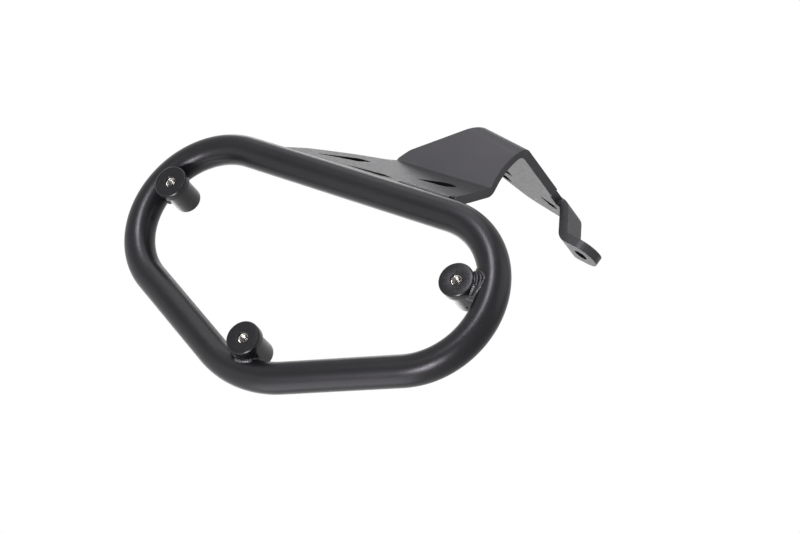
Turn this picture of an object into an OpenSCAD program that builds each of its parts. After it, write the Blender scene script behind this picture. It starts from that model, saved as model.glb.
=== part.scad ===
// Pannier frame: a bent tube loop with three threaded bosses for the pannier,
// and a folded carrier plate that bolts to the motorbike's grab rail.
// The origin is the centre of the grab rail eye. X runs along the bike,
// Y points inboard and Z points up. All sizes are in millimetres.

/* [Tube loop] */
// Outside diameter of the loop tube
tube_d = 18; // [14:0.5:19]
// Wall thickness of the loop tube
tube_wall = 2; // [1.2:0.1:3]
// Length of the straight top run
top_run = 141.2; // [128:0.2:170]
// Centre line radius of both end bends
end_bend_r = 47.2; // [42:0.2:52]
// Centre line radius of the bend at the bottom
low_bend_r = 63.5; // [56:0.5:72]
// Bottom bend centre behind the middle of the top run
low_bend_back = 1; // [-6:0.5:8]
// Bottom bend centre below the centres of the end bends
low_bend_drop = 12; // [6:0.5:18]
// Angle by which the loop rises towards the front
loop_tilt = 10.1; // [0:0.1:16]

/* [Pannier bosses] */
// Diameter of a boss's head
head_d = 19.8; // [18:0.1:20.2]
// Thickness of a boss's head
head_t = 5.4; // [3:0.1:5.6]
// Diameter of a boss's neck
neck_d = 16; // [14:0.1:16.6]
// Overall length of a boss
boss_len = 25; // [18:0.5:32]
// Wall diameter of the threaded bore
bore_d = 6; // [4:0.1:8]
// Chamfer on the head's rim and at the bore's mouth
boss_chamfer = 0.5; // [0.2:0.1:1]
// Rounding of a boss's rear rim
rear_round = 1.4; // [0.4:0.1:2.5]
// Plane of the boss faces outboard of the loop's middle plane
face_out = 13.85; // [12:0.05:18]
// Angle by which the plane of the faces is turned from the loop
face_turn = 2.43; // [0:0.01:3]
// Place of the rear boss around the rear end bend
rear_boss_at = 161.1; // [150:0.1:172]
// Gap between the rear boss's neck and the tube
rear_boss_gap = 1.6; // [1.1:0.1:4]
// Place of the front boss around the front end bend
front_boss_at = 21.8; // [10:0.1:30]
// Gap between the front boss's neck and the tube
front_boss_gap = 1.1; // [1.1:0.1:4]
// Place of the lower boss around the bottom bend
low_boss_at = 268; // [255:0.5:285]
// Depth by which the lower boss's neck is coped into the tube's outline
low_boss_cope = 2.1; // [0.8:0.1:3]
// Diameter of the stubs that carry the rear and front bosses
stub_d = 14.4; // [10:0.1:15]
// Diameter of the vent hole in the front boss's neck
vent_d = 1.5; // [0.8:0.1:2.5]
// Distance of the vent hole from the boss's face
vent_back = 19.1; // [17.5:0.1:22]
// Turn of the vent hole around the neck, down from the front
vent_turn = 62; // [40:1:100]

/* [Carrier plate] */
// Thickness of the plate
plate_t = 5.5; // [3:0.1:7]
// Radius inside each fold
fold_r = 3; // [1.5:0.1:4]
// Rise of the shelf from the tube towards the bike
shelf_rise = 36; // [25:0.5:45]
// Top of the shelf above the tube's centre line
shelf_seat = 8; // [6.5:0.1:8.6]
// Depth of the shelf from the tube's centre line to the first fold
shelf_depth = 48.9; // [42:0.1:60]
// Place of the shelf's front edge along the tube
shelf_front = 64.2; // [60:0.2:68]
// Length of the shelf's tail behind the middle of the tube
shelf_tail = 51.5; // [46:0.5:60]
// Height of the riser at the front end of the crest
riser_h = 31.4; // [26:0.1:40]
// Place of the crest's front end along the tube
crest_front = 71.1; // [68:0.1:75]
// Radius of the sweep at the riser's front edge
riser_sweep_r = 42; // [30:1:70]
// Slope of the riser's rear edge
riser_slope = 38.7; // [34:0.1:44]
// Angle by which the top panel's front edge runs forward
top_flare = 4.1; // [0:0.1:8]
// Distance of the strap's outboard edge from the crest
strap_in = 63.6; // [58:0.2:72]
// Width of the strap
strap_w = 22; // [18:0.2:26]
// Distance of the strap's first fold from the crest's front end
strap_out = 2.95; // [2:0.05:6]
// Slope of the strap from the level
strap_slope = 55.3; // [35:0.1:70]
// Length of the strap between its folds
strap_len = 21.4; // [16:0.1:32]
// Distance of the eye's centre from the strap's second fold
eye_reach = 9.7; // [8:0.1:16]
// Diameter of the eye's hole
eye_d = 8.4; // [6:0.1:11]
// Length of the relief notch beside the strap
notch_len = 11.5; // [6:0.5:14]
// Depth of the relief notch
notch_depth = 1.8; // [1.2:0.1:3]
// Radius in the corners of the relief notch
notch_r = 1.4; // [0.5:0.1:2]

/* [Lightening slots] */
// Length of the shelf's rear slot
slot_rear_len = 32.4; // [20:0.2:34]
// Width of the shelf's rear slot
slot_rear_w = 7.8; // [3:0.1:8.5]
// Length of the shelf's slot beside the tube
slot_tube_len = 35.4; // [20:0.2:37]
// Width of the shelf's slot beside the tube
slot_tube_w = 4.6; // [2.5:0.1:5.2]
// Length of the shelf's front slot
slot_front_len = 23.6; // [14:0.2:26]
// Width of the shelf's front slot
slot_front_w = 10.4; // [4:0.1:11]
// Width of metal between the front slot and the shelf's front edge
slot_edge = 11; // [8:0.2:16]
// Length of the top panel's slot nearest to the strap
slot_strap_len = 14; // [8:0.2:16]
// Length of the top panel's two long slots
slot_top_len = 23; // [12:0.2:25]
// Width of the top panel's slots
slot_top_w = 6; // [3:0.1:7]
// Turn of the top panel's slots and of its inboard edge
slot_top_turn = 40; // [34:0.5:46]

/* [Welds] */
// Leg of the weld bead at the lower boss
boss_bead = 1.8; // [1:0.1:2.2]
// Leg of the weld beads where the stubs land on the tube
stub_bead = 1; // [0.6:0.05:1]
// Reach of the weld bead on top of the shelf
top_bead_reach = 5.4; // [3:0.1:6.5]
// Leg of the weld beads under the shelf
under_bead = 4.2; // [2.5:0.1:5]
// Length of each weld bead at the shelf
stitch_len = 31; // [15:0.5:33]

/* [Hidden] */
$fn = 48;
far = 400;
// Step and lengths by which the tube's legs and the plate's panels grip their bends
seam = 0.005;
seam_lap = 0.1;
fold_lap = 0.05;

tube_r = tube_d / 2;
bore_r = tube_r - tube_wall;
neck_r = neck_d / 2;
head_r = head_d / 2;
stub_r = stub_d / 2;

function unit2(a) = [cos(a), sin(a)];

// Centres and radii of the loop's bends: rear, bottom, front
bend_c = [
    [-top_run / 2, 0],
    [-low_bend_back, -low_bend_drop],
    [top_run / 2, 0]
];
bend_r = [end_bend_r, low_bend_r, end_bend_r];

// Direction that points out of the loop along the leg from bend i to bend j
function leg_out(i, j) =
    let (d = bend_c[j] - bend_c[i])
    atan2(d.y, d.x) - acos((bend_r[i] - bend_r[j]) / norm(d)) + 360;
leg_a = [leg_out(0, 1), leg_out(1, 2), leg_out(2, 0)];
arc_from = [90, leg_a[0], leg_a[1]];
arc_to = [leg_a[0], leg_a[1], 450];

// A point on a bend's centre line circle, at its own radius less an inset
function on_bend(i, a, inset) = bend_c[i] + (bend_r[i] - inset) * unit2(a);

// Boss places in the loop's plane
boss_inset = [
    tube_r + rear_boss_gap + neck_r,
    tube_r - low_boss_cope + neck_r,
    tube_r + front_boss_gap + neck_r
];
boss_at = [rear_boss_at, low_boss_at, front_boss_at];
boss_xz = [for (i = [0:2]) on_bend(i, boss_at[i], boss_inset[i])];
function face_y(p) = p.x * tan(face_turn) - face_out;

// Folds: tangent lengths on the inner and outer faces
fold_out = fold_r + plate_t;
fold1_a = 90 - shelf_rise;
fold1_tan = fold_r * tan(fold1_a / 2);
strap_tan_out = fold_out * tan(strap_slope / 2);
strap_tan_in = fold_r * tan(strap_slope / 2);

// Line of the first fold, and the crest's front corner in both frames
fold1_y = -shelf_seat * sin(shelf_rise) + shelf_depth * cos(shelf_rise);
fold1_z = end_bend_r + shelf_seat * cos(shelf_rise) + shelf_depth * sin(shelf_rise);
fold1_rear = -0.8;
crest_lz = fold1_z + riser_h;
crest = [
    crest_front * cos(loop_tilt) - crest_lz * sin(loop_tilt),
    fold1_y,
    crest_front * sin(loop_tilt) + crest_lz * cos(loop_tilt)
];

// Where the riser's rear edge meets the crest, from the crest's front corner
riser_knee = [4.4, 8];
riser_foot = riser_knee + [fold1_rear, 0];
crest_rear =
    let (w = riser_slope + loop_tilt)
    let (d = [crest_front - riser_foot.x, riser_h - riser_foot.y])
    let (dz = d.x * sin(loop_tilt) + d.y * cos(loop_tilt))
    let (dx = d.x * cos(loop_tilt) - d.y * sin(loop_tilt))
    dz / tan(w) - dx;

// The strap's own frame stands on its first fold, at its outboard edge
strap_x = [cos(top_flare), -sin(top_flare)];
strap_y = [sin(top_flare), cos(top_flare)];
strap_o = strap_out * strap_x + strap_in * strap_y;
function from_strap(x, y) = strap_o + x * strap_x + y * strap_y;
strap_end_x = strap_len * cos(strap_slope);
strap_end_z = -strap_len * sin(strap_slope);
eye_xy = from_strap(strap_end_x + eye_reach, strap_w / 2);
eye = crest + [eye_xy.x, eye_xy.y, strap_end_z - plate_t / 2];

// An outline whose corners [x, y, radius] are rounded
function corner_arc(p, q, s) =
    let (a = [p.x - q.x, p.y - q.y] / norm([p.x - q.x, p.y - q.y]))
    let (b = [s.x - q.x, s.y - q.y] / norm([s.x - q.x, s.y - q.y]))
    let (half = acos(a * b) / 2)
    let (m = (a + b) / norm(a + b))
    let (c = [q.x, q.y] + m * q.z / sin(half))
    let (side = sign(a.x * b.y - a.y * b.x))
    let (n = max(2, ceil((90 - half) / 5)))
    [for (k = [0:n])
        let (w = side * (90 - half) * (1 - 2 * k / n))
        c - q.z * [m.x * cos(w) - m.y * sin(w), m.x * sin(w) + m.y * cos(w)]];
function rounded(p) =
    let (n = len(p))
    [for (i = [0:n - 1])
        each p[i].z > 0
            ? corner_arc(p[(i + n - 1) % n], p[i], p[(i + 1) % n])
            : [[p[i].x, p[i].y]]];

module in_frame() {
    translate(-eye)
        children();
}

module in_loop() {
    in_frame()
        rotate([0, -loop_tilt, 0])
            children();
}

// Stands a flat drawing up into the loop's plane
module upright() {
    rotate([90, 0, 0])
        children();
}

// A solid bar of radius r along bend i
module bend_sweep(i, r) {
    translate(bend_c[i])
        rotate(arc_from[i])
            rotate_extrude(angle = arc_to[i] - arc_from[i])
                translate([bend_r[i], 0])
                    circle(r = r);
}

// A solid bar of radius r along the straight leg that follows bend i
module leg_sweep(i, r) {
    p = on_bend(i, leg_a[i], 0);
    q = on_bend((i + 1) % 3, leg_a[i], 0);
    translate(p)
        rotate([-90, 0, leg_a[i]])
            translate([0, 0, -seam_lap])
                cylinder(r = r + seam, h = norm(q - p) + 2 * seam_lap);
}

module loop_sweep(r) {
    for (i = [0:2]) {
        bend_sweep(i, r);
        leg_sweep(i, r);
    }
}

module tube_loop() {
    color("dimgray")
        in_loop()
            upright()
                difference() {
                    loop_sweep(tube_r);
                    loop_sweep(bore_r);
                }
}

// Carries its children to boss i, with +Z out of the boss's face
module at_boss(i) {
    p = boss_xz[i];
    translate([p.x, face_y(p), p.y])
        rotate([90, 0, face_turn])
            children();
}

module boss_body(grow = 0) {
    rotate_extrude()
        polygon(rounded([
            [0, 0, 0],
            [head_r - boss_chamfer, 0, 0],
            [head_r, -boss_chamfer, 0],
            [head_r, -head_t, 0],
            [neck_r + grow, -head_t - 0.6, 0],
            [neck_r + grow, -boss_len, rear_round],
            [0, -boss_len, 0]
        ]));
}

module boss_bore() {
    translate([0, 0, -boss_len - 1])
        cylinder(r = bore_d / 2, h = boss_len + 2);
    rotate_extrude()
        polygon([
            [0, 1],
            [bore_d / 2 + boss_chamfer + 1, 1],
            [bore_d / 2, -boss_chamfer],
            [0, -boss_chamfer]
        ]);
}

module boss(i) {
    difference() {
        at_boss(i)
            boss_body();
        at_boss(i)
            boss_bore();
        if (i == 1)
            upright()
                bend_sweep(i, tube_r);
    }
}

module boss_rear() {
    color("slategray")
        in_loop()
            boss(0);
}

module boss_lower() {
    color("slategray")
        in_loop()
            boss(1);
}

module boss_front() {
    color("slategray")
        in_loop()
            difference() {
                boss(2);
                at_boss(2)
                    translate([0, 0, -vent_back])
                        rotate([0, 90, -vent_turn])
                            cylinder(d = vent_d, h = neck_d);
            }
}

// A round bar that runs outwards from a boss's middle to the tube's middle
module stub_bar(i, r) {
    p = boss_xz[i];
    translate([p.x, 0, p.y])
        rotate([0, 90 - boss_at[i], 0])
            cylinder(r = r, h = boss_inset[i]);
}

module stub(i) {
    color("gray")
        in_loop()
            difference() {
                stub_bar(i, stub_r);
                upright()
                    bend_sweep(i, tube_r);
                at_boss(i)
                    boss_body();
            }
}

module stub_rear() {
    stub(0);
}

module stub_front() {
    stub(2);
}

// The weld bead around a stub where it lands on the tube
module stub_weld(i) {
    color("silver")
        in_loop()
            difference() {
                intersection() {
                    stub_bar(i, stub_r + stub_bead);
                    upright()
                        bend_sweep(i, tube_r + stub_bead);
                }
                upright()
                    bend_sweep(i, tube_r);
                stub_bar(i, stub_r);
            }
}

module weld_rear() {
    stub_weld(0);
}

module weld_front() {
    stub_weld(2);
}

// The weld bead where the lower boss's neck is coped onto the tube
module weld_lower() {
    color("silver")
        in_loop()
            difference() {
                intersection() {
                    at_boss(1)
                        translate([0, 0, -boss_len + rear_round])
                            cylinder(r = neck_r + boss_bead, h = boss_len - rear_round - head_t - 0.6);
                    upright()
                        bend_sweep(1, tube_r + boss_bead);
                }
                upright()
                    bend_sweep(1, tube_r);
                at_boss(1)
                    boss_body();
            }
}

// A leaf-shaped slot, from its fine tip at the origin along +X
module leaf(len, w) {
    polygon(rounded([
        [0, 0, 0.3],
        [len * 0.78, -w / 2, w * 0.7],
        [len, 0, 0.6],
        [len * 0.78, w / 2, w * 0.7]
    ]));
}

// The shelf's frame: X along the tube, Y up the shelf, Z out of its top
module in_shelf() {
    translate([0, 0, end_bend_r])
        rotate([shelf_rise, 0, 0])
            children();
}

// A fold's sector about Z, a hair fuller than the panels that run into it
module fold(angle, len) {
    translate([0, 0, -seam])
        rotate_extrude(angle = angle)
            translate([fold_r - seam, 0])
                square([plate_t + 2 * seam, len + 2 * seam]);
}

front_tip = [shelf_front - slot_edge, 30.6];
front_slot_turn = 20;
tube_tip = [24.4, tube_r + 0.5];
tube_slot_turn = 3.7;
rear_tip = [-4.6, 28.2];
rear_slot_turn = 30;

module slot_from(tip, turn, len, w) {
    translate(tip)
        rotate(turn)
            translate([-len, 0])
                leaf(len, w);
}

module shelf_outline() {
    tan_v = shelf_depth - fold1_tan;
    difference() {
        polygon(rounded([
            [-shelf_tail, tube_r / 3, 0],
            [shelf_front + 1.2, tube_r / 3, 0],
            [shelf_front + 1.2, tan_v - 20, 30],
            [shelf_front, tan_v, 0],
            [shelf_front, tan_v + fold_lap, 0],
            [fold1_rear, tan_v + fold_lap, 0],
            [fold1_rear, tan_v, 0],
            [fold1_rear - 3.6, tan_v - 4.2, 12],
            [-20.5, tan_v - 13, 60],
            [9.2 - shelf_tail, 17.2, 20]
        ]));
        slot_from(rear_tip, rear_slot_turn, slot_rear_len, slot_rear_w);
        slot_from(tube_tip, tube_slot_turn, slot_tube_len, slot_tube_w);
        slot_from(front_tip, front_slot_turn, slot_front_len, slot_front_w);
    }
}

module shelf() {
    in_shelf() {
        translate([0, 0, shelf_seat - plate_t])
            linear_extrude(plate_t)
                shelf_outline();
        translate([fold1_rear, shelf_depth - fold1_tan, shelf_seat + fold_r])
            rotate([0, 90, 0])
                fold(fold1_a, shelf_front - fold1_rear);
    }
}

// The riser's outline in the loop's plane, measured from the first fold
module riser_outline(grow = 0) {
    difference() {
        polygon(rounded([
            [fold1_rear, 0, 0],
            [shelf_front, 0, 0],
            [shelf_front, 5, 0],
            [far, 5, 0],
            [far, far * tan(riser_slope), 0],
            [riser_foot.x + far - grow, riser_foot.y + far * tan(riser_slope), 0],
            [riser_foot.x - grow, riser_foot.y, 8],
            [fold1_rear, fold1_tan, 0]
        ]));
        translate([shelf_front + riser_sweep_r, 5])
            circle(r = riser_sweep_r - grow, $fn = 180);
        translate([crest_front + 6, -1])
            square([far, 2 * far]);
    }
}

module riser() {
    rotate([0, -loop_tilt, 0])
        translate([0, fold1_y + plate_t, 0])
            upright()
                linear_extrude(plate_t)
                    intersection() {
                        translate([0, fold1_z])
                            riser_outline();
                        translate([-far, fold1_z + fold1_tan - fold_lap])
                            square([2 * far, far]);
                        rotate(-loop_tilt)
                            translate([-far, -far])
                                square([far + crest.x, far + crest.z - fold_out + fold_lap]);
                    }
}

module crest_fold() {
    intersection() {
        translate([crest.x - far, crest.y + fold_out, crest.z - fold_out])
            rotate([0, -90, 180])
                fold(90, far);
        rotate([0, -loop_tilt, 0])
            translate([0, fold1_y + 2 * fold_out, 0])
                upright()
                    linear_extrude(3 * fold_out)
                        translate([0, fold1_z])
                            riser_outline(seam);
    }
}

// The top panel's outline from the crest's front corner, X forward, Y inboard
module top_outline() {
    edge_x = -3.6;
    near_corner = from_strap(fold_lap - strap_tan_out, 0);
    far_corner = from_strap(fold_lap - strap_tan_out, strap_w);
    turn_in = from_strap(-34, 12.5);
    nose = turn_in - 43 * unit2(slot_top_turn);
    difference() {
        polygon(rounded([
            [crest_rear - plate_t / 2, fold_out - fold_lap, 0],
            [from_strap(edge_x, fold_out - strap_in).x, fold_out - fold_lap, 0],
            [from_strap(edge_x, 0).x, from_strap(edge_x, 0).y, 0],
            [near_corner.x, near_corner.y, 0],
            [far_corner.x, far_corner.y, 0],
            [turn_in.x, turn_in.y, 24],
            [nose.x, nose.y, 10]
        ]));
        translate(strap_o)
            rotate(-top_flare)
                translate([edge_x - notch_depth, -notch_len])
                    polygon(rounded([
                        [0, 0, notch_r],
                        [far, 0, 0],
                        [far, notch_len, 0],
                        [0, notch_len, notch_r]
                    ]));
        slot_from(from_strap(-8.6, 7.6), slot_top_turn, slot_strap_len, slot_top_w);
        slot_from(from_strap(-34.4, -13), slot_top_turn, slot_top_len, slot_top_w);
        slot_from(from_strap(-40.7, -1.4), slot_top_turn, slot_top_len, slot_top_w);
    }
}

module top_panel() {
    translate(crest - [0, 0, plate_t])
        linear_extrude(plate_t)
            top_outline();
}

// The strap and the eye, in the strap's own frame
module strap() {
    translate(crest + [strap_o.x, strap_o.y, 0])
        rotate([0, 0, -top_flare]) {
            translate([-strap_tan_out, 0, -fold_out])
                rotate([-90, -90, 0])
                    fold(strap_slope, strap_w);
            rotate([0, strap_slope, 0])
                translate([strap_tan_out - fold_lap, 0, -plate_t])
                    cube([strap_len - strap_tan_out - strap_tan_in + 2 * fold_lap, strap_w, plate_t]);
            translate([strap_end_x + strap_tan_in, 0, strap_end_z + fold_r])
                rotate([-90, 90, 0])
                    fold(strap_slope, strap_w);
            translate([strap_end_x, 0, strap_end_z - plate_t])
                linear_extrude(plate_t)
                    difference() {
                        union() {
                            translate([strap_tan_in - fold_lap, 0])
                                square([eye_reach - strap_tan_in + fold_lap, strap_w]);
                            translate([eye_reach, strap_w / 2])
                                intersection() {
                                    circle(d = strap_w);
                                    translate([0, -far])
                                        square([far, 2 * far]);
                                }
                        }
                        translate([eye_reach, strap_w / 2])
                            circle(d = eye_d);
                    }
        }
}

module carrier_plate() {
    color("darkslategray")
        difference() {
            in_frame() {
                rotate([0, -loop_tilt, 0])
                    shelf();
                riser();
                crest_fold();
                top_panel();
                strap();
            }
            in_loop()
                upright()
                    leg_sweep(2, tube_r);
        }
}

// A length of weld bead along the shelf: a profile, with round ends in plan
module shelf_bead(x_front, v_mid, v_half) {
    color("silver")
        in_loop()
            difference() {
                in_shelf()
                    intersection() {
                        translate([x_front - stitch_len, 0, 0])
                            rotate([90, 0, 90])
                                linear_extrude(stitch_len)
                                    children();
                        translate([x_front - stitch_len, v_mid - v_half, -far / 2])
                            linear_extrude(far)
                                polygon(rounded([
                                    [0, 0, v_half * 0.9],
                                    [stitch_len, 0, v_half * 0.9],
                                    [stitch_len, 2 * v_half, v_half * 0.9],
                                    [0, 2 * v_half, v_half * 0.9]
                                ]));
                    }
                in_shelf()
                    translate([-far / 2, 0, shelf_seat - plate_t])
                        cube([far, far, plate_t]);
                upright()
                    leg_sweep(2, tube_r);
            }
}

// Where the shelf's two faces meet the tube
seat_top_v = sqrt(pow(tube_r, 2) - pow(shelf_seat, 2));
under_n = shelf_seat - plate_t;
under_v = sqrt(pow(tube_r, 2) - pow(under_n, 2));
under_a = atan2(under_n, under_v) - under_bead / tube_r * 180 / PI;
bead_front_x = shelf_front - 3.4;
bead_rear_x = tube_tip.x - slot_tube_len - 3;
top_bead_r = 12;

module weld_shelf_top() {
    toe = [seat_top_v + top_bead_reach, shelf_seat];
    heel = [1.4, sqrt(pow(tube_r, 2) - pow(1.4, 2))];
    mid = (toe + heel) / 2;
    half = norm(toe - heel) / 2;
    across = (toe - heel) / norm(toe - heel);
    centre = mid - sqrt(pow(top_bead_r, 2) - pow(half, 2)) * [-across.y, across.x];
    shelf_bead(bead_front_x, mid.x, half)
        intersection() {
            translate(centre)
                circle(r = top_bead_r);
            translate([0, shelf_seat - plate_t / 2])
                square([far, far]);
        }
}

module weld_under(x_front) {
    heel = tube_r * [cos(under_a), sin(under_a)];
    shelf_bead(x_front, (under_v + under_bead + heel.x) / 2, (under_v + under_bead - heel.x) / 2)
        polygon([
            heel,
            [under_v + under_bead, under_n],
            [under_v - 1, under_n + 1],
            [heel.x - 1, heel.y]
        ]);
}

module weld_shelf_under_front() {
    weld_under(bead_front_x);
}

module weld_shelf_under_rear() {
    weld_under(bead_rear_x);
}

tube_loop();
carrier_plate();
boss_rear();
boss_front();
boss_lower();
stub_rear();
stub_front();
weld_rear();
weld_front();
weld_lower();
weld_shelf_top();
weld_shelf_under_front();
weld_shelf_under_rear();
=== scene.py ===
"""Looks of the pannier frame: coated tube loop, folded carrier plate, bosses, welds and threads."""

import math

import bmesh
import bpy
from mathutils import Matrix, Vector


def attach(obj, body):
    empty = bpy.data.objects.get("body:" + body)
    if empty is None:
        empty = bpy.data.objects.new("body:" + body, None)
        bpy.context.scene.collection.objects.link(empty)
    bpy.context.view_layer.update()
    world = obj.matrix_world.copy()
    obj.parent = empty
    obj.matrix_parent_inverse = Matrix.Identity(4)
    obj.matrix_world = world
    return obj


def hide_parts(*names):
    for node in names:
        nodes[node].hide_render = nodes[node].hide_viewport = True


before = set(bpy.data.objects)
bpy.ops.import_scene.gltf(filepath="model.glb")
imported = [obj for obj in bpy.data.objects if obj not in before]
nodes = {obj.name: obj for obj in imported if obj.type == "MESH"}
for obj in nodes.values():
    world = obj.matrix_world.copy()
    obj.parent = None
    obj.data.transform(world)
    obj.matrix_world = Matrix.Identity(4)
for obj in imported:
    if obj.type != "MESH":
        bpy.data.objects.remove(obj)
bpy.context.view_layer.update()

MM = 0.001

# ---- Sizes of the steelwork, in millimetres and degrees ----

TUBE_R = 9.0
TOP_RUN = 141.2
END_BEND_R = 47.2
LOW_BEND_R = 63.5
LOW_BEND_AT = (-1.0, -12.0)
TOP_OUT = 90.0
LOOP_TILT = 10.1
EYE = Vector((80.142, 107.492, 104.176))

HEAD_R, HEAD_T = 9.9, 5.4
NECK_R, BOSS_LEN = 8.0, 25.0
BORE_R = 3.0
RIM, RIM_IN, BACK_RIM = 0.5, 0.7, 0.3
EDGE_ROUND, RIM_ROUND, HEAD_ROUND, NECK_ROUND, REAR_ROUND = 0.1, 0.12, 0.35, 0.5, 1.4
HEAD_SLOPE = 0.2
FACE_OUT, FACE_TURN = 13.85, 2.43
BOSS_AT = {"rear": 161.1, "lower": 268.0, "front": 21.8}
BOSS_GAP = {"rear": 1.6, "lower": -2.1, "front": 1.1}
VENT_BACK, VENT_R, VENT_TURN, VENT_DEPTH = 19.1, 0.75, 62.0, 3.5

THREAD_TURNS, THREAD_LEN, THREAD_DEPTH = 22.0, 22.0, 23.2
RIDGE_R, RIDGE_SINK = 0.42, 0.08

SHELF_RISE = 36.0
SHELF_SEAT = 8.0
SHELF_FRONT = 64.2
PLATE_T = 5.5
SOFT_EDGE = 0.3


def unit2(angle):
    return Vector((math.cos(math.radians(angle)), math.sin(math.radians(angle))))


BENDS = {
    "rear": (Vector((-TOP_RUN / 2, 0.0)), END_BEND_R),
    "lower": (Vector(LOW_BEND_AT), LOW_BEND_R),
    "front": (Vector((TOP_RUN / 2, 0.0)), END_BEND_R),
}
LOOP = Matrix.Translation(-EYE) @ Matrix.Rotation(math.radians(-LOOP_TILT), 4, "Y")


def loop_point(x, y, z):
    """A point given along the loop, across its plane and up it, in the frame in metres."""
    return (LOOP @ Vector((x, y, z))) * MM


def loop_way(x, y, z):
    return (LOOP.to_3x3() @ Vector((x, y, z))).normalized()


def leg_out(first, second):
    """Direction that points out of the loop along the leg between two bends."""
    (c0, r0), (c1, r1) = BENDS[first], BENDS[second]
    d = c1 - c0
    return math.degrees(math.atan2(d.y, d.x) - math.acos((r0 - r1) / d.length)) + 360


def boss_reach(name):
    """Distance from the centre of a bend to the axis of its boss."""
    return BENDS[name][1] - (TUBE_R + BOSS_GAP[name] + NECK_R)


def boss_place(name):
    return BENDS[name][0] + boss_reach(name) * unit2(BOSS_AT[name])


def boss_frame(name):
    """Matrix in millimetres whose +Z runs out of the boss's face."""
    p = boss_place(name)
    face_y = p.x * math.tan(math.radians(FACE_TURN)) - FACE_OUT
    aside = Matrix.Rotation(math.radians(FACE_TURN), 4, "Z")
    outward = Matrix.Rotation(math.radians(90), 4, "X")
    return LOOP @ Matrix.Translation((p.x, face_y, p.y)) @ aside @ outward


# ---- Objects, pieces and node trees ----


def new_object(name, mesh):
    obj = bpy.data.objects.new(name, mesh)
    bpy.context.scene.collection.objects.link(obj)
    return obj


def mesh_from(bm, name):
    mesh = bpy.data.meshes.new(name)
    bm.to_mesh(mesh)
    bm.free()
    return mesh


def one_finish(mesh, finish):
    """Gives every face of a mesh the same finish."""
    for polygon in mesh.polygons:
        polygon.material_index = 0
    mesh.materials.clear()
    mesh.materials.append(finish)


def applied(obj):
    """The object's shape as its modifiers leave it, as a new mesh."""
    graph = bpy.context.evaluated_depsgraph_get()
    return bpy.data.meshes.new_from_object(obj.evaluated_get(graph))


def settle(piece, slot, *replaced):
    """Puts a piece on the body in the place of its CAD nodes, which it hides; slot is not used."""
    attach(piece, "root")
    if replaced:
        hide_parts(*replaced)


def add_node(tree, kind, values=(), **settings):
    node = tree.nodes.new(kind)
    for key, value in settings.items():
        setattr(node, key, value)
    for socket, value in dict(values).items():
        node.inputs[socket].default_value = value
    return node


def geometry_tree(name, inputs):
    """A Geometry Nodes tree with a Geometry input, the named inputs and a Geometry output."""
    tree = bpy.data.node_groups.new(name, "GeometryNodeTree")
    tree.interface.new_socket("Geometry", in_out="INPUT", socket_type="NodeSocketGeometry")
    for label, kind in inputs:
        tree.interface.new_socket(label, in_out="INPUT", socket_type="NodeSocket" + kind)
    tree.interface.new_socket("Geometry", in_out="OUTPUT", socket_type="NodeSocketGeometry")
    return tree, tree.nodes.new("NodeGroupInput"), tree.nodes.new("NodeGroupOutput")


def finish_tree(tree, source, gin, gout):
    """Realizes, smooths and paints what comes out of a node, and sends it to the output."""
    link = tree.links.new
    real = tree.nodes.new("GeometryNodeRealizeInstances")
    smooth = add_node(tree, "GeometryNodeSetShadeSmooth", {"Shade Smooth": True})
    paint = tree.nodes.new("GeometryNodeSetMaterial")
    link(source, real.inputs["Geometry"])
    link(real.outputs["Geometry"], smooth.inputs["Geometry"])
    link(smooth.outputs["Geometry"], paint.inputs["Geometry"])
    link(gin.outputs["Finish"], paint.inputs["Material"])
    link(paint.outputs["Geometry"], gout.inputs["Geometry"])


def grow(name, tree, values, path=None):
    """Runs a geometry tree on a path mesh and keeps the result as a plain mesh."""
    obj = new_object(name, path or bpy.data.meshes.new(name))
    mod = obj.modifiers.new("grow", "NODES")
    mod.node_group = tree
    for item in tree.interface.items_tree:
        if item.item_type == "SOCKET" and item.in_out == "INPUT" and item.name in values:
            mod[item.identifier] = values[item.name]
    obj.update_tag()
    mesh = applied(obj)
    obj.modifiers.remove(mod)
    obj.data = mesh
    mesh.name = name
    one_finish(mesh, values["Finish"])
    return obj


def path_mesh(name, points, outs=None, closed=False):
    """A chain of edges through points, with the way out of the surface kept at each."""
    mesh = bpy.data.meshes.new(name)
    count = len(points)
    edges = [(i, (i + 1) % count) for i in range(count if closed else count - 1)]
    mesh.from_pydata([tuple(p) for p in points], edges, [])
    if outs:
        out = mesh.attributes.new("out", "FLOAT_VECTOR", "POINT")
        for i, way in enumerate(outs):
            out.data[i].vector = way
    return mesh


# ---- Finishes ----

# How fine the noise of each effect is, and how deep it goes in metres.
CLOUDS, GLOSS, PEBBLES, SWELLS, TURNING_MARKS, FLOOR_CLOUDS = 26, 420, 900, 170, 1600, 3
PEBBLE_DEPTH, SWELL_DEPTH, MARK_DEPTH = 0.00012, 0.0005, 0.00005
SWELL_SHARE = 0.7
MARK_STRENGTH = 0.3
COAT_SHEEN = (0.95, 0.91, 1.0, 1)
# The part of the noise's range that a tint or a spread is stretched over.
NOISE_LOW, NOISE_HIGH = 0.3, 0.7


def new_material(name):
    mat = bpy.data.materials.new(name)
    mat.use_nodes = True
    tree = mat.node_tree
    shader = tree.nodes["Principled BSDF"]
    coords = tree.nodes.new("ShaderNodeTexCoord")
    return mat, tree, shader, coords.outputs["Object"]


def noise(tree, coords, scale, detail=2.0):
    values = {"Scale": scale, "Detail": detail, "Roughness": 0.55}
    node = add_node(tree, "ShaderNodeTexNoise", values)
    tree.links.new(coords, node.inputs["Vector"])
    return node.outputs["Fac"]


def spread(tree, source, low, high):
    node = add_node(tree, "ShaderNodeMapRange", {
        "From Min": NOISE_LOW, "From Max": NOISE_HIGH, "To Min": low, "To Max": high})
    tree.links.new(source, node.inputs["Value"])
    return node.outputs["Result"]


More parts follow.
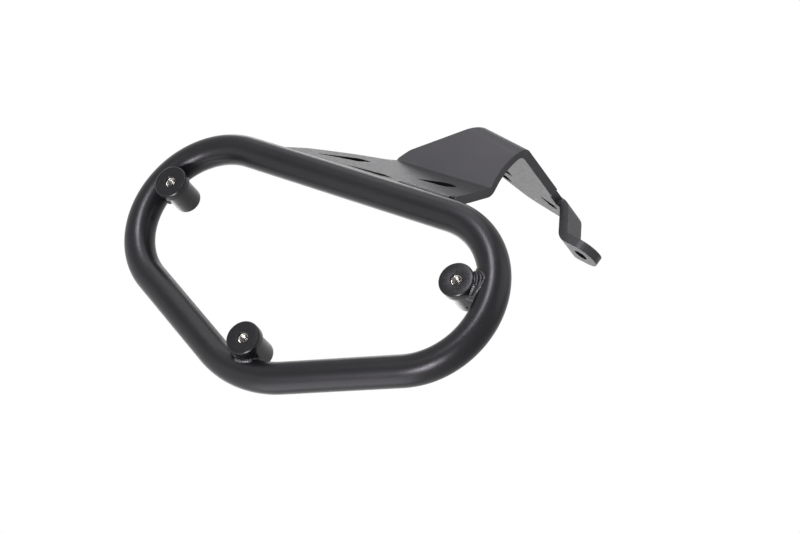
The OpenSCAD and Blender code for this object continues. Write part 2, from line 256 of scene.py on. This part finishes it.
def tint(tree, source, dark, light):
    node = tree.nodes.new("ShaderNodeValToRGB")
    stops = node.color_ramp.elements
    for stop, position, colour in zip(stops, (NOISE_LOW, NOISE_HIGH), (dark, light)):
        stop.position = position
        stop.color = (*colour, 1)
    tree.links.new(source, node.inputs["Fac"])
    return node.outputs["Color"]


def bump(tree, height, strength, distance, normal=None):
    node = add_node(tree, "ShaderNodeBump", {"Strength": strength, "Distance": distance})
    tree.links.new(height, node.inputs["Height"])
    if normal:
        tree.links.new(normal, node.inputs["Normal"])
    return node.outputs["Normal"]


def powder_coat(name, dark, light, rough, level, peel):
    """Satin black coat: slight cloudiness, uneven gloss and a fine pebbled skin."""
    mat, tree, shader, coords = new_material(name)
    clouds = noise(tree, coords, CLOUDS, 4)
    tree.links.new(tint(tree, clouds, dark, light), shader.inputs["Base Color"])
    gloss = noise(tree, coords, GLOSS, 3)
    tree.links.new(spread(tree, gloss, *rough), shader.inputs["Roughness"])
    pebbles = noise(tree, coords, PEBBLES)
    swells = noise(tree, coords, SWELLS)
    skin = bump(tree, pebbles, peel, PEBBLE_DEPTH)
    skin = bump(tree, swells, peel * SWELL_SHARE, SWELL_DEPTH, skin)
    tree.links.new(skin, shader.inputs["Normal"])
    shader.inputs["Specular IOR Level"].default_value = level
    shader.inputs["Specular Tint"].default_value = COAT_SHEEN
    return mat


def bare_steel(name, dark, light, rough):
    """Cut steel that the coat was kept off: bright, with turning marks."""
    mat, tree, shader, coords = new_material(name)
    marks = noise(tree, coords, TURNING_MARKS)
    tree.links.new(tint(tree, marks, dark, light), shader.inputs["Base Color"])
    tree.links.new(spread(tree, marks, *rough), shader.inputs["Roughness"])
    tree.links.new(bump(tree, marks, MARK_STRENGTH, MARK_DEPTH), shader.inputs["Normal"])
    shader.inputs["Metallic"].default_value = 1.0
    return mat


tube_coat = powder_coat(
    "tube_coat", dark=(0.0035, 0.0035, 0.0039), light=(0.006, 0.0059, 0.0066),
    rough=(0.28, 0.34), level=0.22, peel=0.13)
plate_coat = powder_coat(
    "plate_coat", dark=(0.014, 0.0137, 0.015), light=(0.018, 0.0177, 0.0192),
    rough=(0.42, 0.5), level=0.29, peel=0.18)
boss_coat = powder_coat(
    "boss_coat", dark=(0.0035, 0.0036, 0.0038), light=(0.006, 0.0061, 0.0064),
    rough=(0.22, 0.28), level=0.2, peel=0.18)
# The walls of the plate's cut-outs: a darker, duller coat that is painted shade for the shade
# falling in them.
shaded_cut_wall_coat = powder_coat(
    "shaded_cut_wall_coat", dark=(0.0025, 0.0025, 0.0028), light=(0.004, 0.0039, 0.0044),
    rough=(0.5, 0.6), level=0.05, peel=0.18)
weld_coat = powder_coat(
    "weld_coat", dark=(0.004, 0.004, 0.0043), light=(0.008, 0.0079, 0.0086),
    rough=(0.26, 0.34), level=0.46, peel=0.3)
thread_steel = bare_steel(
    "thread_steel", dark=(0.24, 0.23, 0.215), light=(0.44, 0.42, 0.4), rough=(0.16, 0.34))

# ---- Geometry trees ----


def swept_tree():
    """A round bar of Radius along the path."""
    tree, gin, gout = geometry_tree("swept_bar", [
        ("Radius", "Float"), ("Sides", "Int"), ("Finish", "Material"),
    ])
    link = tree.links.new
    curve = tree.nodes.new("GeometryNodeMeshToCurve")
    ring = tree.nodes.new("GeometryNodeCurvePrimitiveCircle")
    sweep = add_node(tree, "GeometryNodeCurveToMesh", {"Fill Caps": True})
    link(gin.outputs["Geometry"], curve.inputs["Mesh"])
    link(gin.outputs["Radius"], ring.inputs["Radius"])
    link(gin.outputs["Sides"], ring.inputs["Resolution"])
    link(curve.outputs["Curve"], sweep.inputs["Curve"])
    link(ring.outputs["Curve"], sweep.inputs["Profile Curve"])
    finish_tree(tree, sweep.outputs["Mesh"], gin, gout)
    return tree


def bead_tree():
    """Weld ripples: flattened drops set one behind the other along a path, leaning back."""
    tree, gin, gout = geometry_tree("weld_ripples", [
        ("Pitch", "Float"), ("Size", "Vector"), ("Lean", "Float"),
        ("Jitter", "Float"), ("Seed", "Int"), ("Finish", "Material"),
    ])
    link = tree.links.new
    # Points one pitch apart.
    curve = tree.nodes.new("GeometryNodeMeshToCurve")
    steps = tree.nodes.new("GeometryNodeResampleCurve")
    steps.mode = "LENGTH"
    link(gin.outputs["Geometry"], curve.inputs["Mesh"])
    link(curve.outputs["Curve"], steps.inputs["Curve"])
    link(gin.outputs["Pitch"], steps.inputs["Length"])
    # A drop's Z runs along the path and its X out of the surface, and then it leans.
    tangent = tree.nodes.new("GeometryNodeInputTangent")
    along = add_node(tree, "FunctionNodeAlignRotationToVector", axis="Z", pivot_axis="AUTO")
    link(tangent.outputs["Tangent"], along.inputs["Vector"])
    out = add_node(
        tree, "GeometryNodeInputNamedAttribute", {"Name": "out"}, data_type="FLOAT_VECTOR")
    up = add_node(tree, "FunctionNodeAlignRotationToVector", axis="X", pivot_axis="Z")
    link(along.outputs["Rotation"], up.inputs["Rotation"])
    link(out.outputs["Attribute"], up.inputs["Vector"])
    tip = tree.nodes.new("ShaderNodeCombineXYZ")
    link(gin.outputs["Lean"], tip.inputs["Y"])
    lean = add_node(tree, "FunctionNodeRotateRotation", rotation_space="LOCAL")
    link(up.outputs["Rotation"], lean.inputs["Rotation"])
    link(tip.outputs["Vector"], lean.inputs["Rotate By"])
    # Its size varies by the jitter.
    less = add_node(tree, "ShaderNodeMath", {0: 1.0}, operation="SUBTRACT")
    more = add_node(tree, "ShaderNodeMath", {0: 1.0}, operation="ADD")
    link(gin.outputs["Jitter"], less.inputs[1])
    link(gin.outputs["Jitter"], more.inputs[1])
    chance = add_node(tree, "FunctionNodeRandomValue", data_type="FLOAT_VECTOR")
    link(less.outputs["Value"], chance.inputs["Min"])
    link(more.outputs["Value"], chance.inputs["Max"])
    link(gin.outputs["Seed"], chance.inputs["Seed"])
    size = add_node(tree, "ShaderNodeVectorMath", operation="MULTIPLY")
    link(chance.outputs["Value"], size.inputs[0])
    link(gin.outputs["Size"], size.inputs[1])
    drop = add_node(
        tree, "GeometryNodeMeshUVSphere", {"Segments": 16, "Rings": 8, "Radius": 1.0})
    place = tree.nodes.new("GeometryNodeInstanceOnPoints")
    link(steps.outputs["Curve"], place.inputs["Points"])
    link(drop.outputs["Mesh"], place.inputs["Instance"])
    link(lean.outputs["Rotation"], place.inputs["Rotation"])
    link(size.outputs["Vector"], place.inputs["Scale"])
    finish_tree(tree, place.outputs["Instances"], gin, gout)
    return tree


def thread_tree():
    """The ridge of a screw thread as a rounded bar that winds up a bore."""
    tree, gin, gout = geometry_tree("thread_ridge", [
        ("Turns", "Float"), ("Height", "Float"), ("Radius", "Float"),
        ("Ridge", "Float"), ("Finish", "Material"),
    ])
    link = tree.links.new
    coil = add_node(tree, "GeometryNodeCurveSpiral", {"Resolution": 36, "Reverse": False})
    ring = add_node(tree, "GeometryNodeCurvePrimitiveCircle", {"Resolution": 8})
    sweep = add_node(tree, "GeometryNodeCurveToMesh", {"Fill Caps": True})
    link(gin.outputs["Turns"], coil.inputs["Rotations"])
    link(gin.outputs["Height"], coil.inputs["Height"])
    link(gin.outputs["Radius"], coil.inputs["Start Radius"])
    link(gin.outputs["Radius"], coil.inputs["End Radius"])
    link(gin.outputs["Ridge"], ring.inputs["Radius"])
    link(coil.outputs["Curve"], sweep.inputs["Curve"])
    link(ring.outputs["Curve"], sweep.inputs["Profile Curve"])
    finish_tree(tree, sweep.outputs["Mesh"], gin, gout)
    return tree


sweep_bar = swept_tree()
weld_ripples = bead_tree()
thread_ridge = thread_tree()

# ---- Tube loop ----

ROUND_SIDES = 96
BEND_STEP = 2


def loop_path():
    """Centre line of the loop: three bends joined by straight legs."""
    turns = [leg_out("rear", "lower"), leg_out("lower", "front"), TOP_OUT + 360]
    points, start = [], TOP_OUT
    for name, end in zip(("rear", "lower", "front"), turns):
        centre, radius = BENDS[name]
        steps = round((end - start) / BEND_STEP)
        for i in range(steps + 1):
            p = centre + radius * unit2(start + (end - start) * i / steps)
            points.append(loop_point(p.x, 0, p.y))
        start = end
    return path_mesh("loop_path", points, closed=True)


tube = grow("loop_tube", sweep_bar, {
    "Radius": TUBE_R * MM, "Sides": ROUND_SIDES, "Finish": tube_coat}, loop_path())
settle(tube, "coated_tube", "tube_loop")

# ---- Carrier plate: the solid's own shape with softened edges ----

# Corners nearer than this, in metres, are one, and faces that turn less are one flat.
SAME_POINT = 0.00003
FLAT_TURN = math.radians(1.5)
# Edges that turn more than these stay crisp, or are softened.
PLATE_CREASE = math.radians(35)
SOFTENED_TURN = math.radians(38)


def merged_copy(node, name):
    """A copy of a CAD node's mesh with its corners joined and its flats made whole."""
    mesh = nodes[node].data.copy()
    mesh.name = name
    bm = bmesh.new()
    bm.from_mesh(mesh)
    bmesh.ops.remove_doubles(bm, verts=bm.verts, dist=SAME_POINT)
    bmesh.ops.dissolve_degenerate(bm, edges=bm.edges, dist=SAME_POINT / 2)
    bmesh.ops.dissolve_limit(bm, angle_limit=FLAT_TURN, verts=bm.verts, edges=bm.edges)
    for face in bm.faces:
        face.smooth = True
    for edge in bm.edges:
        edge.smooth = len(edge.link_faces) == 2 and edge.calc_face_angle() < PLATE_CREASE
    bm.to_mesh(mesh)
    bm.free()
    mesh.materials.clear()
    return mesh


def patches(faces, crosses):
    """Groups of faces that hang together across the edges that may be crossed."""
    left, found = set(faces), []
    while left:
        patch = [left.pop()]
        for face in patch:
            for edge in face.edges:
                for near in edge.link_faces:
                    if near in left and crosses(edge):
                        left.remove(near)
                        patch.append(near)
        found.append(patch)
    return found


def patch_area(patch):
    return sum(face.calc_area() for face in patch)


def cut_out_walls(mesh):
    """Numbers of the faces in the cut-outs: all but both broad sides and the outer edge."""
    bm = bmesh.new()
    bm.from_mesh(mesh)
    sides = sorted(patches(bm.faces, lambda edge: edge.smooth), key=patch_area)[-2:]
    rest = set(bm.faces) - set(sides[0] + sides[1])
    walls = sorted(patches(rest, lambda edge: True), key=patch_area)
    numbers = [face.index for wall in walls[:-1] for face in wall]
    bm.free()
    return numbers


plate = new_object("plate", merged_copy("carrier_plate", "plate"))
plate.data.materials.append(plate_coat)
plate.data.materials.append(shaded_cut_wall_coat)
# The faces in the cut-outs take the darker, duller coat, painted shade for the shade that falls in
# them.
for number in cut_out_walls(plate.data):
    plate.data.polygons[number].material_index = 1
soft_edge = plate.modifiers.new("soft_edge", "BEVEL")
soft_edge.width = SOFT_EDGE * MM
soft_edge.segments = 3
soft_edge.limit_method = "ANGLE"
soft_edge.angle_limit = SOFTENED_TURN
soft_edge.harden_normals = True
settle(plate, "coated_plate", "carrier_plate")

# ---- Bosses and their threads ----

ARC_STEP = 18
BOSS_CREASE = math.radians(32)
DRILL_LEN = 6.0


def rounded_profile(corners):
    """Corners [radius, height, rounding] of a turned part, with arcs where they round."""
    points = []
    count = len(corners)
    for i, (r, z, rounding) in enumerate(corners):
        q = Vector((r, z))
        if rounding <= 0:
            points.append(q)
            continue
        a = (Vector(corners[i - 1][:2]) - q).normalized()
        b = (Vector(corners[(i + 1) % count][:2]) - q).normalized()
        half = a.angle(b) / 2
        centre = q + (a + b).normalized() * rounding / math.sin(half)
        reach = rounding / math.tan(half)
        first, last = q + a * reach - centre, q + b * reach - centre
        steps = max(2, math.ceil(math.degrees(math.pi - 2 * half) / ARC_STEP))
        sweep = first.angle_signed(last)
        for k in range(steps + 1):
            points.append(centre + Matrix.Rotation(-sweep * k / steps, 2) @ first)
    return points


def turned(name, profile, place):
    """A closed ring of profile points turned about Z, put in its place."""
    bm = bmesh.new()
    rings = []
    for i in range(ROUND_SIDES):
        a = 2 * math.pi * i / ROUND_SIDES
        rings.append([
            bm.verts.new((p.x * math.cos(a), p.x * math.sin(a), p.y)) for p in profile])
    count = len(profile)
    for i in range(ROUND_SIDES):
        here, there = rings[i], rings[(i + 1) % ROUND_SIDES]
        for k in range(count):
            m = (k + 1) % count
            bm.faces.new((here[k], there[k], there[m], here[m])).smooth = True
    bmesh.ops.recalc_face_normals(bm, faces=bm.faces)
    for edge in bm.edges:
        edge.smooth = edge.calc_face_angle() < BOSS_CREASE
    mesh = mesh_from(bm, name)
    mesh.transform(Matrix.Scale(MM, 4) @ place)
    return new_object(name, mesh)


BOSS_PROFILE = rounded_profile([
    (BORE_R + RIM, 0, EDGE_ROUND),
    (HEAD_R - RIM_IN, 0, EDGE_ROUND),
    (HEAD_R, -RIM, RIM_ROUND),
    (HEAD_R, -HEAD_T, HEAD_ROUND),
    (NECK_R, -HEAD_T - HEAD_SLOPE, NECK_ROUND),
    (NECK_R, -BOSS_LEN, REAR_ROUND),
    (BORE_R + BACK_RIM, -BOSS_LEN, EDGE_ROUND),
    (BORE_R, -BOSS_LEN + BACK_RIM, 0),
    (BORE_R, -RIM, 0),
])


def drill_vent(boss, place):
    """Sinks the vent's pinhole into the neck of a boss."""
    bm = bmesh.new()
    bmesh.ops.create_cone(
        bm, cap_ends=True, segments=24, radius1=VENT_R, radius2=VENT_R, depth=DRILL_LEN)
    drill_mesh = mesh_from(bm, "vent_drill")
    aside = Matrix.Rotation(math.radians(-VENT_TURN), 4, "Z")
    outward = Matrix.Rotation(math.radians(90), 4, "Y")
    down = Matrix.Translation((0, 0, -VENT_BACK))
    off_axis = Matrix.Translation((0, 0, NECK_R - VENT_DEPTH + DRILL_LEN / 2))
    drill_mesh.transform(Matrix.Scale(MM, 4) @ place @ down @ aside @ outward @ off_axis)
    drill = new_object("vent_drill", drill_mesh)
    cut = boss.modifiers.new("vent", "BOOLEAN")
    cut.operation = "DIFFERENCE"
    cut.solver = "EXACT"
    cut.object = drill
    mesh = applied(boss)
    boss.modifiers.remove(cut)
    boss.data = mesh
    bpy.data.objects.remove(drill)


for which in ("rear", "lower", "front"):
    place = boss_frame(which)
    boss = turned("pannier_boss_" + which, BOSS_PROFILE, place)
    boss.data.materials.append(boss_coat)
    if which == "front":
        drill_vent(boss, place)
    settle(boss, "coated_boss", "boss_" + which)
    thread = grow("thread_" + which, thread_ridge, {
        "Turns": THREAD_TURNS, "Height": THREAD_LEN, "Radius": BORE_R - RIDGE_SINK,
        "Ridge": RIDGE_R, "Finish": thread_steel})
    start = Matrix.Translation((0, 0, -THREAD_DEPTH))
    thread.data.transform(Matrix.Scale(MM, 4) @ place @ start)
    settle(thread, "bare_thread")

# ---- Welds: what a bead is made of ----

# The way that lumps of weld face: off the front of the loop, a little forward and down.
LUMP_OUT = Vector((0.455, -0.81, -0.37))


def bead(name, path, pitch, size, lean, jitter, seed):
    """Ripples along a path. Their size is across the path, off the surface and along it."""
    return grow(name, weld_ripples, {
        "Pitch": pitch * MM, "Size": tuple(s * MM for s in size), "Lean": lean,
        "Jitter": jitter, "Seed": seed, "Finish": weld_coat}, path)


def lump(points, size, seed):
    """A short thick run of weld along some points, where a pass started or stopped."""
    path = path_mesh("lump_line", points, [LUMP_OUT] * len(points))
    return bead("lump", path, pitch=1.1, size=size, lean=0.2, jitter=0.1, seed=seed)


def join(name, parts):
    """Joins runs of weld into one piece and drops the parts."""
    bm = bmesh.new()
    for part in parts:
        bm.from_mesh(part.data)
    mesh = mesh_from(bm, name)
    one_finish(mesh, weld_coat)
    for part in parts:
        bpy.data.objects.remove(part)
    return new_object(name, mesh)


# ---- Welds of the stubs, from the boss's neck to the tube ----

RING_POINTS = 72
RING_STEP = 360 / RING_POINTS
RIPPLE_LEN = 1.1
# Share of the way to the tube, distance from the stub's axis, and thickness of each ripple.
STUB_RIPPLES = (
    (0.1, 7.0, 0.75),
    (0.38, 7.2, 0.85),
    (0.68, 7.4, 0.95),
    (1.0, 7.8, 1.0),
    (1.0, 8.7, 0.85),
)
# First and last angle round the stub, share, distance and size of each lump.
STUB_LUMPS = {
    "front": (
        (215, 240, 0.5, 8.0, (1.0, 2.0, 1.8)),
        (210, 240, 1.0, 9.2, (0.7, 1.3, 1.3)),
    ),
    "rear": ((340, 355, 0.5, 8.3, (1.2, 2.0, 1.6)),),
}


def stub_joint(name, share, reach):
    """A ring round a stub, share of the way from the boss's neck to the tube."""
    centre, radius = BENDS[name]
    out = unit2(BOSS_AT[name])
    side = Vector((-out.y, out.x))
    points, outs = [], []
    for i in range(RING_POINTS):
        angle = 2 * math.pi * i / RING_POINTS
        a, b = reach * math.cos(angle), reach * math.sin(angle)
        near = boss_reach(name) + math.sqrt(max(0.0, NECK_R ** 2 - a * a))
        tube_in = radius - math.sqrt(max(0.0, TUBE_R ** 2 - b * b))
        far = math.sqrt(tube_in ** 2 - a * a)
        p = centre + (near + (far - near) * share) * out + a * side
        points.append(loop_point(p.x, b, p.y))
        outs.append(loop_way(
            side.x * math.cos(angle), math.sin(angle), side.y * math.cos(angle)))
    return points, outs


for number, which in enumerate(("rear", "front")):
    runs = []
    for k, (share, reach, thick) in enumerate(STUB_RIPPLES):
        points, outs = stub_joint(which, share, reach)
        path = path_mesh("joint", points, outs, closed=True)
        runs.append(bead(
            "ring", path, pitch=0.6, size=(thick, thick, RIPPLE_LEN),
            lean=0.25, jitter=0.035, seed=10 * number + k))
    for k, (start, end, share, reach, size) in enumerate(STUB_LUMPS[which]):
        points, outs = stub_joint(which, share, reach)
        some = points[round(start / RING_STEP):round(end / RING_STEP) + 1]
        runs.append(lump(some, size, seed=60 + 10 * number + k))
    settle(join("stub_weld_" + which, runs), "coated_weld", "weld_" + which)

# ---- Weld of the lower boss, which sits in the tube's inner side ----

SWING_STEP = 0.5
SIDE_POINTS = 30
SIDE_TURN = 0.9
# Distance off the neck and thickness of the rows all round, and of the lumps in front.
LOWER_ROWS = ((0.2, 1.7), (1.5, 1.1))
LOWER_LUMPS = ((1.0, 1.5), (2.4, 1.3), (3.8, 1.0))
LUMP_POINTS = slice(15, 25)


def lower_joint(off):
    """Points on the tube round the lower boss's neck, some way off it, the front ones first."""
    centre, radius = BENDS["lower"]
    place = boss_place("lower")
    toward = BOSS_AT["lower"]

    def depth(ray):
        """How far inside the tube's centre line a point lies, on a ray from the boss."""
        return radius - (place + (NECK_R + off) * ray - centre).length

    swing = 0.0
    while depth(unit2(toward + swing + SWING_STEP)) < TUBE_R:
        swing += SWING_STEP
    front, back = [], []
    for i in range(SIDE_POINTS + 1):
        ray = unit2(toward - swing + 2 * swing * i / SIDE_POINTS)
        p = place + (NECK_R + off) * ray
        y = math.sqrt(max(0.0, TUBE_R ** 2 - depth(ray) ** 2))
        front.append((loop_point(p.x, -y, p.y), loop_way(-ray.x, -SIDE_TURN, -ray.y)))
        back.append((loop_point(p.x, y, p.y), loop_way(-ray.x, SIDE_TURN, -ray.y)))
    return zip(*(front + back[-2:0:-1]))


lower_runs = []
for k, (off, thick) in enumerate(LOWER_ROWS):
    points, outs = lower_joint(off)
    path = path_mesh("lower_joint", points, outs, closed=True)
    lower_runs.append(bead(
        "row", path, pitch=1.0, size=(thick, 1.8, 1.3), lean=0.35, jitter=0.08, seed=31 + k))
for k, (off, thick) in enumerate(LOWER_LUMPS):
    points, outs = lower_joint(off)
    lower_runs.append(lump(points[LUMP_POINTS], size=(thick, 1.6, 1.6), seed=35 + k))
settle(join("boss_weld_lower", lower_runs), "coated_weld", "weld_lower")

# ---- Welds of the shelf on the tube ----

SHELF = (
    Matrix.Translation((0, 0, END_BEND_R))
    @ Matrix.Rotation(math.radians(SHELF_RISE), 4, "X"))
SHELF_POINTS = 12
# Front ends of the two stitches of weld, and their length.
BEAD_FRONT, REAR_BEAD_FRONT, STITCH = SHELF_FRONT - 3.4, 5.0, 31.0
# How much shorter the ripples under the shelf are at each end, and how far off the corner.
UNDER_SHORT, UNDER_OFF = 2, 0.9
SEAT_V = math.sqrt(TUBE_R ** 2 - SHELF_SEAT ** 2)
UNDER_N = SHELF_SEAT - PLATE_T
UNDER_V = math.sqrt(TUBE_R ** 2 - UNDER_N ** 2)


def shelf_path(name, start, end, v, n, out):
    """A straight run along the tube, v up the shelf and n off it from the tube's centre line."""
    way = (LOOP.to_3x3() @ SHELF.to_3x3() @ Vector((0, *out))).normalized()
    points = []
    for i in range(SHELF_POINTS + 1):
        x = start + (end - start) * i / SHELF_POINTS
        points.append((LOOP @ SHELF @ Vector((x, v, n))) * MM)
    return path_mesh(name, points, [way] * len(points))


TOP_OUT_WAY, UNDER_OUT_WAY = (-0.15, 1.0), (0.7, -0.7)
top_joint = shelf_path(
    "top_joint", BEAD_FRONT - STITCH + 1.2, SHELF_FRONT - 0.4,
    v=SEAT_V + 1.3, n=8.1, out=TOP_OUT_WAY)
end_joint = shelf_path(
    "end_joint", SHELF_FRONT + 0.2, SHELF_FRONT + 1.4,
    v=SEAT_V + 3.4, n=8.3, out=TOP_OUT_WAY)
top_weld = join("shelf_weld_top", [
    bead("run", top_joint, pitch=1.2, size=(0.95, 2.9, 1.35), lean=0.4, jitter=0.04, seed=41),
    bead("crater", end_joint, pitch=1.2, size=(1.5, 1.8, 1.5), lean=0.2, jitter=0.06, seed=42),
])
settle(top_weld, "coated_weld", "weld_shelf_top")

for front, label, seed in ((BEAD_FRONT, "front", 51), (REAR_BEAD_FRONT, "rear", 52)):
    under_joint = shelf_path(
        "under_joint", front - STITCH + UNDER_SHORT, front - UNDER_SHORT,
        v=UNDER_V + UNDER_OFF, n=UNDER_N - UNDER_OFF, out=UNDER_OUT_WAY)
    weld = bead(
        "shelf_weld_under_" + label, under_joint,
        pitch=1.3, size=(1.6, 2.3, 1.4), lean=0.45, jitter=0.08, seed=seed)
    settle(weld, "coated_weld", "weld_shelf_under_" + label)

# ---- Finishes of the solids that stay ----

for name in ("stub_rear", "stub_front"):
    node = nodes[name]
    node.data.materials.clear()
    node.data.materials.append(weld_coat)

# ---- Floor, light and camera ----

WORLD_SEEN, WORLD_LIT = 1.0, 0.35
FLOOR_Z, FLOOR_HALF = -1.15, 8.0
FLOOR_SEEN = 0.6
WHITE = (1, 1, 1, 1)

MIDDLE = Vector((-0.08, -0.06, -0.08))
CAMERA = Matrix((
    (0.7191, -0.4208, 0.5530, 0.54436),
    (0.3745, -0.4357, -0.8185, -0.95159),
    (0.5854, 0.7957, -0.1557, -0.24428),
    (0, 0, 0, 1),
))


def where_seen(tree, seen, lit):
    """One level where a surface is seen, mirrored or looked through, another where it lights."""
    link = tree.links.new
    rays = tree.nodes.new("ShaderNodeLightPath")
    mirrored = add_node(tree, "ShaderNodeMath", operation="MAXIMUM")
    link(rays.outputs["Is Camera Ray"], mirrored.inputs[0])
    link(rays.outputs["Is Glossy Ray"], mirrored.inputs[1])
    shown = add_node(tree, "ShaderNodeMath", operation="MAXIMUM")
    link(mirrored.outputs["Value"], shown.inputs[0])
    link(rays.outputs["Is Transmission Ray"], shown.inputs[1])
    level = add_node(tree, "ShaderNodeMapRange", {"To Min": lit, "To Max": seen})
    link(shown.outputs["Value"], level.inputs["Value"])
    return level.outputs["Result"]


world = bpy.data.worlds.new("studio")
bpy.context.scene.world = world
world.use_nodes = True
backdrop = world.node_tree.nodes["Background"]
backdrop.inputs["Color"].default_value = WHITE
world_level = where_seen(world.node_tree, WORLD_SEEN, WORLD_LIT)
world.node_tree.links.new(world_level, backdrop.inputs["Strength"])

corners = [
    (x * FLOOR_HALF, y * FLOOR_HALF, FLOOR_Z) for x, y in ((-1, -1), (1, -1), (1, 1), (-1, 1))]
floor_mesh = bpy.data.meshes.new("floor")
floor_mesh.from_pydata(corners, [], [(0, 1, 2, 3)])
floor = new_object("floor", floor_mesh)
floor_mat, floor_tree, floor_shader, floor_coords = new_material("pale_floor")
floor_clouds = noise(floor_tree, floor_coords, FLOOR_CLOUDS)
floor_tone = tint(floor_tree, floor_clouds, (0.86, 0.86, 0.86), (0.9, 0.9, 0.9))
floor_tree.links.new(floor_tone, floor_shader.inputs["Base Color"])
floor_shader.inputs["Roughness"].default_value = 0.9
floor_shader.inputs["Emission Color"].default_value = WHITE
floor_level = where_seen(floor_tree, FLOOR_SEEN, 0.0)
floor_tree.links.new(floor_level, floor_shader.inputs["Emission Strength"])
floor_mesh.materials.append(floor_mat)


def softbox(name, toward, distance, along, width, length, glow):
    """A lamp some way from the frame's middle; directions are camera right, up and back."""
    lamp = bpy.data.lights.new(name, "AREA")
    lamp.shape = "RECTANGLE"
    lamp.size, lamp.size_y = width, length
    lamp.energy = 4 * width * length * glow
    back = (CAMERA.to_3x3() @ Vector(toward)).normalized()
    side = (CAMERA.to_3x3() @ Vector(along)).cross(back).normalized()
    obj = new_object(name, lamp)
    obj.matrix_world = Matrix((side, back.cross(side), back)).transposed().to_4x4()
    obj.matrix_world.translation = MIDDLE + back * distance
    obj.visible_camera = False


FAR = 2.6
softbox("front_light", (-0.27, 0.78, 0.57), FAR, (0.25, 0.33, -0.35), 0.62, 1.2, glow=21.5)
softbox("overhead_light", (0, 0.96, 0.05), FAR, (0, 0, 1), 1.5, 2.2, glow=1.4)
softbox("shelf_light", (0.03, 0.58, -0.81), FAR, (1, 0, 0), 0.9, 1.1, glow=1.9)
softbox("low_light", (-0.37, -0.25, 0.9), 1.8, (0.2, -1, 0.3), 0.5, 0.64, glow=36.0)
softbox("low_fill", (-0.45, -0.8, 0.3), 0.95, (-0.4, 0.2, 0.8), 0.6, 0.75, glow=2.6)
softbox("side_fill", (0.85, 0.4, 0.25), FAR, (0, 0.4, -0.6), 2.2, 2.2, glow=1.0)
softbox("back_fill", (-0.2, -0.34, -0.92), FAR, (1, 0, 0), 1.2, 1.6, glow=1.2)

camera_data = bpy.data.cameras.new("camera")
camera_data.lens = 85.5
camera_data.sensor_width = 36.0
camera_data.clip_start = 0.05
camera = new_object("camera", camera_data)
camera.matrix_world = CAMERA
bpy.context.scene.camera = camera
bpy.context.scene.view_settings.view_transform = "Standard"
